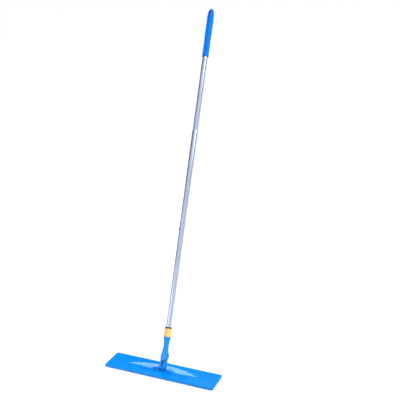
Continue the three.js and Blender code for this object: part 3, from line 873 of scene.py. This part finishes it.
def insert_rivet():
    size = Size("insert_rivet", POLE)
    foot, top = 8.4 * MM, size.outer
    head = size.height / 2
    shank = 0.63 * head
    under_head = Size("middle_tube", POLE).outer + GAP
    corners = [
        (0, foot), (shank, foot), (shank, under_head), (head, under_head), (0.8 * head, top), (0, top),
    ]
    profile = filleted(corners, 0.3 * MM, 4, closed=False)
    rivet = turned("rivet_dome", profile, radial(size), 32, hollow=False)
    shade(rivet)
    fit(rivet, "lower_pole", "steel", "insert_rivet")


def locking_collar():
    """A turned collar with a rolled rim at each end."""
    lip_bore = Size("seal_ring", POLE).bore
    low, high, outer = COLLAR.low.z, COLLAR.high.z, COLLAR.outer
    bore = outer - 1.25 * MM
    under_lip = high - 1.6 * MM
    rim = 0.13 * (high - low)
    rim_end = 1.25 * rim
    waist = outer - 0.25 * MM
    corners = [
        (bore, low), (outer, low), (outer, low + rim), (waist, low + rim_end), (waist, high - rim_end),
        (outer, high - rim), (outer, high), (lip_bore, high), (lip_bore, under_lip), (bore, under_lip),
    ]
    collar = turned("collar_moulding", filleted(corners, 0.6 * MM, 5), POLE, 128)
    shade(collar)
    fit(collar, "collar", "collar_yellow", "locking_collar")


def seal_ring():
    """A rubber ring with a groove round its middle and a chamfered top."""
    size = Size("seal_ring", POLE)
    low, high, outer = size.low.z, size.high.z, size.outer
    groove = 0.35 * (high - low)
    corners = [
        (size.bore, low), (outer, low), (outer, low + groove), (outer - 0.3 * MM, low + 1.25 * groove),
        (outer, low + 1.5 * groove), (outer - 0.6 * MM, high), (size.bore, high),
    ]
    ring = turned("ring_rubber", filleted(corners, 0.5 * MM, 4), POLE, 128)
    shade(ring)
    fit(ring, "lower_pole", "ring_black", "seal_ring")


def widest_at_heights(size):
    """The (height, radius) stations of a turned CAD node, measured on the frame."""
    stations = {}
    for point in size.points:
        height = round(point.z, 4)
        stations[height] = max(stations.get(height, 0), point.xy.length)
    return sorted(stations.items())


def grip_sleeve():
    size = Size("grip_sleeve", POLE)
    radius_at = smooth_through(widest_at_heights(size))
    steps = 90
    low, high = size.low.z, size.high.z
    lip = 0.5 * MM
    profile = [(size.bore, low), (radius_at(low) - lip, low)]
    for i in range(1, steps + 1):
        height = low + (high - low) * i / steps
        profile.append((radius_at(height), height))
    profile.append((size.bore, high))
    grip = turned("grip_moulding", profile, POLE, 128)
    softened(grip, 0.3 * MM)
    fit(grip, "upper_pole", "grip_blue", "grip_sleeve")


def hanging_end_cap():
    """A dome on a plug, with a slot through it to hang the mop up by."""
    size = Size("hanging_end_cap", POLE)
    grip_top = Size("grip_sleeve", POLE).high.z
    foot, low, high = size.low.z, grip_top + GAP, size.high.z
    plug = Size("upper_tube", POLE).bore - GAP
    steps = 48
    roundness = 4.2  # power of the dome's curve: 2 is half a ball, more is blunter
    profile = [
        (0, foot), (plug - 0.8 * MM, foot), (plug, foot + 2 * MM), (plug, low), (size.outer - 0.25 * MM, low),
    ]
    for i in range(steps):
        share = math.sin(math.pi / 2 * (i + 0.6) / (steps + 0.6))
        profile.append((size.outer * math.sqrt(1 - share**roundness), low + share * (high - low)))
    profile.append((0, high))
    cap = turned("end_cap_moulding", profile, POLE, 96, hollow=False)
    slot_width = 9 * MM
    slot_length = 28 * MM
    slot = rounded_rectangle(slot_width, slot_length, ROUND_END * slot_width, 16)
    centre = high - 25 * MM
    place = POLE @ Matrix.Translation((0, 0, centre))
    carved(cap, [facing_y(slot, -2 * size.outer, 2 * size.outer, place)])

    def beside_slot(point):
        return abs(point.x) < 0.55 * slot_width and abs(point.z - centre) < 0.55 * slot_length

    softened(cap, 0.9 * MM, 5, where=beside_slot)
    fit(cap, "upper_pole", "grip_blue", "hanging_end_cap")


def hidden_pieces():
    """What is inside the pole keeps its CAD shape and gets a finish."""
    inside = {
        "split_sleeve": "nylon_white", "joint_insert": "grip_blue", "button_spring": "steel",
        "lock_ring": "nylon_white", "expander_plug": "nylon_white",
    }
    for node, slot in inside.items():
        dress(frame["nodes"][node], slot)


# ------------------------------------------------------------------ assembly

head_plate()
for which, size in STRIPS.items():
    hook_strip(which, size)
swivel_bracket()
for side, size in SCREWS.items():
    bracket_screw(side, size)
tilt_pin()
yoke()
neck()
swing_pin()
tube("lower_tube_pipe", "lower_tube", "lower_pole", 0.25 * MM, hole_at=Size("joint_button", POLE))
tube("middle_tube_pipe", "middle_tube", "lower_pole", 0.25 * MM)
tube("upper_tube_pipe", "upper_tube", "upper_pole", 0.2 * MM)
joint_button()
insert_rivet()
locking_collar()
seal_ring()
grip_sleeve()
hanging_end_cap()
hidden_pieces()

# ------------------------------------------------------------------ studio


def floor():
    """A white paper floor that runs on past the horizon of every view."""
    finish = Finish("floor_paper", Roughness=0.9)
    tone = finish.between(finish.noise(0.4, 4), 0, 1)
    finish.bump((finish.noise(2 * MM, 2), 0.02 * MM))
    material = finish.set(Base_Color=finish.blend(tone, (0.92, 0.92, 0.92, 1), (0.95, 0.95, 0.95, 1)))
    half = 400.0
    height = -0.1 * MM
    corners = [(-half, -half, height), (half, -half, height), (half, half, height), (-half, half, height)]
    plane = mesh_piece("floor", corners, [(0, 1, 2, 3)], HEAD)
    plane.data.materials.append(material)


def softbox(name, target, direction, distance, width, height, radiance, colour=(1, 1, 1)):
    """An area light that faces the target from a direction."""
    light = bpy.data.lights.new(name, "AREA")
    light.shape = "RECTANGLE"
    light.size = width
    light.size_y = height
    light.color = colour
    light.energy = radiance * math.pi * width * height
    lamp = bpy.data.objects.new(name, light)
    away = Vector(direction).normalized()
    lamp.location = Vector(target) + away * distance
    lamp.rotation_euler = (-away).to_track_quat("-Z", "Y").to_euler()
    bpy.context.scene.collection.objects.link(lamp)


def studio_walls():
    """A pale room: light in front of the mop and along the horizon, dark high up behind it."""
    dark = (0.03, 0.035, 0.06, 1)
    pale = (0.82, 0.85, 0.93, 1)
    forwards = (0.4, -0.8, 0.45)
    upwards = (0, 0, 1)
    world = bpy.data.worlds.new("studio")
    world.use_nodes = True
    tree = world.node_tree
    direction = tree.nodes.new("ShaderNodeTexCoord").outputs["Generated"]

    def fade(axis, start, end, most=1.0):
        """0 to its most as the direction turns towards an axis."""
        along = tree.nodes.new("ShaderNodeVectorMath")
        along.operation = "DOT_PRODUCT"
        along.inputs[1].default_value = axis
        ranged = tree.nodes.new("ShaderNodeMapRange")
        ranged.inputs["From Min"].default_value = start
        ranged.inputs["From Max"].default_value = end
        ranged.inputs["To Max"].default_value = most
        tree.links.new(direction, along.inputs[0])
        tree.links.new(along.outputs["Value"], ranged.inputs["Value"])
        return ranged.outputs["Result"]

    lit = tree.nodes.new("ShaderNodeMath")
    lit.operation = "MAXIMUM"
    tree.links.new(fade(forwards, -0.1, 0.9), lit.inputs[0])
    tree.links.new(fade(upwards, 0.26, 0.16, most=0.7), lit.inputs[1])
    tone = tree.nodes.new("ShaderNodeMix")
    tone.data_type = "RGBA"
    tone.inputs["A"].default_value = dark
    tone.inputs["B"].default_value = pale
    tree.links.new(lit.outputs["Value"], tone.inputs["Factor"])
    tree.links.new(tone.outputs["Result"], tree.nodes["Background"].inputs["Color"])
    return world


def lights():
    """A cool softbox mirrored in the plate, two for the pole and the swivel, and a wide sun."""
    head = Vector((0, 0, PLATE.high.z))
    grip = POLE @ Vector((0, 0, Size("grip_sleeve", POLE).low.z))
    rear = (-0.377, 0.605, 0.701)
    right = (0.817, -0.121, 0.577)
    front = (-0.37, -0.85, 0.37)
    cool = (0.8, 1.0, 1.0)
    softbox("rear_softbox", head, rear, distance=2.5, width=1.6, height=0.5, radiance=11.0, colour=cool)
    softbox("right_softbox", grip, right, distance=2.2, width=0.5, height=1.0, radiance=1.2)
    softbox("front_softbox", head, front, distance=2.4, width=0.4, height=0.6, radiance=5.0)
    sun = bpy.data.lights.new("overhead", "SUN")
    sun.energy = 2.6
    sun.angle = math.radians(50)
    downwards = Vector((-0.5, -0.1, -0.86))
    lamp = bpy.data.objects.new("overhead", sun)
    lamp.rotation_euler = downwards.to_track_quat("-Z", "Y").to_euler()
    bpy.context.scene.collection.objects.link(lamp)
    bpy.context.scene.world = studio_walls()


def camera():
    """The photograph's viewpoint, from a fit to the head's corners and the pole's line."""
    azimuth = math.radians(22.54)
    pitch = math.radians(17.085)
    distance = 2.4526
    aim = Vector((0.0217, 0.2782, 0.5340))
    data = bpy.data.cameras.new("camera")
    data.sensor_width = 36
    data.lens = 62.757
    eye = bpy.data.objects.new("camera", data)
    level = math.cos(pitch)
    back = Vector((math.sin(azimuth) * level, -math.cos(azimuth) * level, math.sin(pitch)))
    eye.location = aim + back * distance
    eye.rotation_euler = (-back).to_track_quat("-Z", "Y").to_euler()
    bpy.context.scene.collection.objects.link(eye)
    bpy.context.scene.camera = eye


floor()
lights()
camera()
bpy.context.scene.view_settings.view_transform = "Standard"
